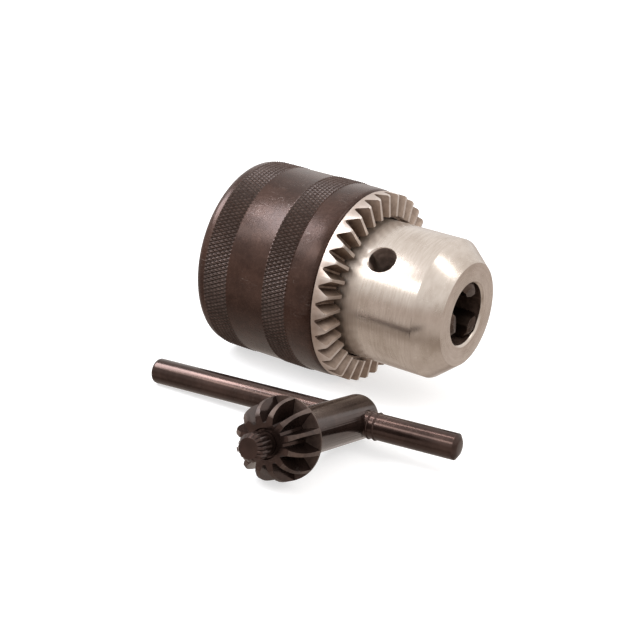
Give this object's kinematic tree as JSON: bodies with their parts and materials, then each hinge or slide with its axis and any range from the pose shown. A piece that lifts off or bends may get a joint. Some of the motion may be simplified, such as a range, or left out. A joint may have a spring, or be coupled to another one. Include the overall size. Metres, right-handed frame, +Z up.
{
  "type": "keyed drill chuck",
  "caption": "Keyed drill chuck with a bevel-geared knurled sleeve, sliding jaws that grip a drill, and its T-handled pinion key lying beside it.",
  "frame": {"origin": "centre of the spindle socket's mouth, in the plane of the chuck's rear face", "axes": "+X along the chuck's axis from the rear face to the nose, +Z up when the chuck lies on its side, the key on the -Y side"},
  "size_m": [0.0837, 0.1048, 0.0466],
  "materials": {
    "nose_steel": "fine-turned bright steel",
    "gear_steel": "ground bright steel, slightly warm",
    "black_steel": "warm black oxide, satin",
    "jaw_steel": "hardened and ground steel",
    "nut_steel": "hardened steel, oiled",
    "screw_steel": "dark screw steel",
    "key_steel": "warm black oxide, satin",
    "bar_steel": "drawn bar, black oxide, semi-gloss"
  },
  "bodies": {
    "body": {"chuck_body": "nose_steel", "retaining_screw": "screw_steel"},
    "jaw_one": {"jaw_1": "jaw_steel"},
    "jaw_two": {"jaw_2": "jaw_steel"},
    "jaw_three": {"jaw_3": "jaw_steel"},
    "sleeve": {"sleeve": "black_steel", "gear_ring": "gear_steel", "nut_half_upper": "nut_steel", "nut_half_lower": "nut_steel"},
    "key": {"key_head": "key_steel", "key_pilot": "key_steel", "key_handle": "bar_steel"}
  },
  "joints": [
    {"name": "sleeve_spin", "type": "hinge", "parent": "body", "child": "sleeve", "pos_m": [0.02, 0, 0], "axis": [-1, 0, 0], "range_deg": [-2189, 2846]},
    {"name": "jaw_one_slide", "type": "slide", "parent": "body", "child": "jaw_one", "axis": [0.9659, -0.0449, -0.2549], "range_m": [-0.00968, 0.01258]},
    {"name": "jaw_two_slide", "type": "slide", "parent": "body", "child": "jaw_two", "axis": [0.9659, 0.2432, 0.0885], "range_m": [-0.00968, 0.01258]},
    {"name": "jaw_three_slide", "type": "slide", "parent": "body", "child": "jaw_three", "axis": [0.9659, -0.1983, 0.1664], "range_m": [-0.00968, 0.01258]},
    {"name": "key_lift", "type": "slide", "parent": "body", "child": "key", "axis": [0, 0, 1], "range_m": [0, 0.08]}
  ],
  "couplings": [
    {"joint": "jaw_one_slide", "follows": "sleeve_spin", "m_per_rad": 0.00025274},
    {"joint": "jaw_two_slide", "follows": "sleeve_spin", "m_per_rad": 0.00025274},
    {"joint": "jaw_three_slide", "follows": "sleeve_spin", "m_per_rad": 0.00025274}
  ]
}
